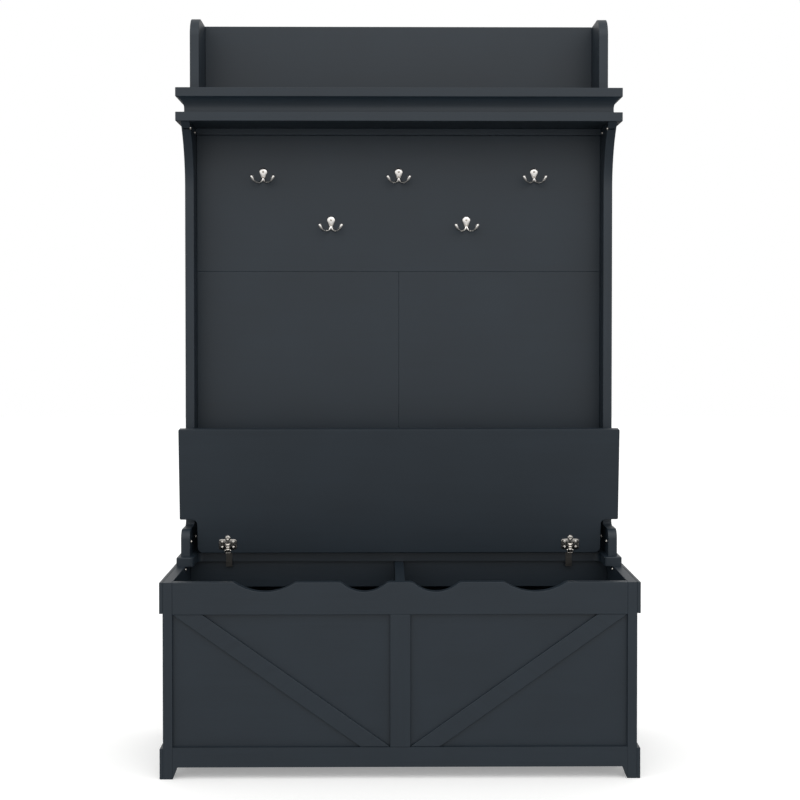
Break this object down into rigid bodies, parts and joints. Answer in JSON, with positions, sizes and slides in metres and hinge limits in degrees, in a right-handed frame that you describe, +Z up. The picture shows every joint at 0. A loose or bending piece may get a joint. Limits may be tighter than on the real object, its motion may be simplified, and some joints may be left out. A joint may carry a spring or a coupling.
{
  "type": "hall tree with hooks",
  "caption": "Tall painted hall tree: storage bench with lift-up seat lid and braced front, panelled back with double coat hooks, and a corniced top shelf.",
  "frame": {"origin": "on the floor, under the middle of the bench", "axes": "+X to the right seen from the front, +Y to the back, +Z up"},
  "size_m": [1, 0.4, 1.63],
  "materials": {
    "slate_paint": "satin slate grey paint on engineered board",
    "satin_nickel": "satin nickel plate",
    "bright_nickel": "bright nickel plate",
    "beech": "plain fluted beech, unfinished"
  },
  "bodies": {
    "cabinet": {"bench_dowels": "beech", "bench_side_left": "slate_paint", "bench_side_right": "slate_paint", "box_back": "slate_paint", "box_bolts": "bright_nickel", "box_divider": "slate_paint", "box_floor": "slate_paint", "coat_hook_1": "satin_nickel", "coat_hook_2": "satin_nickel", "coat_hook_3": "satin_nickel", "coat_hook_4": "satin_nickel", "coat_hook_5": "satin_nickel", "coat_hook_screws": "satin_nickel", "cornice_back_rail": "slate_paint", "cornice_cove_front": "slate_paint", "cornice_cove_left": "slate_paint", "cornice_cove_right": "slate_paint", "cornice_lower_board": "slate_paint", "cross_batten": "slate_paint", "fixed_hinge_leaf_left": "bright_nickel", "fixed_hinge_leaf_right": "bright_nickel", "fixed_leaf_screws": "bright_nickel", "front_bottom_rail": "slate_paint", "front_brace_left": "slate_paint", "front_brace_right": "slate_paint", "front_panel_left": "slate_paint", "front_panel_right": "slate_paint", "front_stile": "slate_paint", "front_top_rail": "slate_paint", "hinge_pin_left": "bright_nickel", "hinge_pin_right": "bright_nickel", "hinge_rail_left": "slate_paint", "hinge_rail_right": "slate_paint", "hook_board": "slate_paint", "hutch_bolts_lower": "bright_nickel", "hutch_bolts_upper": "bright_nickel", "hutch_dowels": "beech", "hutch_side_left": "slate_paint", "hutch_side_right": "slate_paint", "lower_back_left": "slate_paint", "lower_back_right": "slate_paint", "middle_batten": "slate_paint", "seat_board": "slate_paint", "shelf_cleat": "slate_paint", "shelf_top_board": "slate_paint", "side_trim_foot_left": "slate_paint", "side_trim_foot_right": "slate_paint", "side_trim_top_left": "slate_paint", "side_trim_top_right": "slate_paint", "upper_back": "slate_paint", "upper_dowels": "beech", "upper_side_left": "slate_paint", "upper_side_right": "slate_paint"},
    "lid": {"seat_lid": "slate_paint", "lid_hinge_plate_left": "bright_nickel", "lid_hinge_plate_right": "bright_nickel", "lid_hinge_screws": "bright_nickel"}
  },
  "joints": [
    {"name": "lid_hinge", "type": "hinge", "parent": "cabinet", "child": "lid", "pos_m": [0, 0.0815, 0.4336], "axis": [1, 0, 0], "range_deg": [-7, 84.3]}
  ]
}
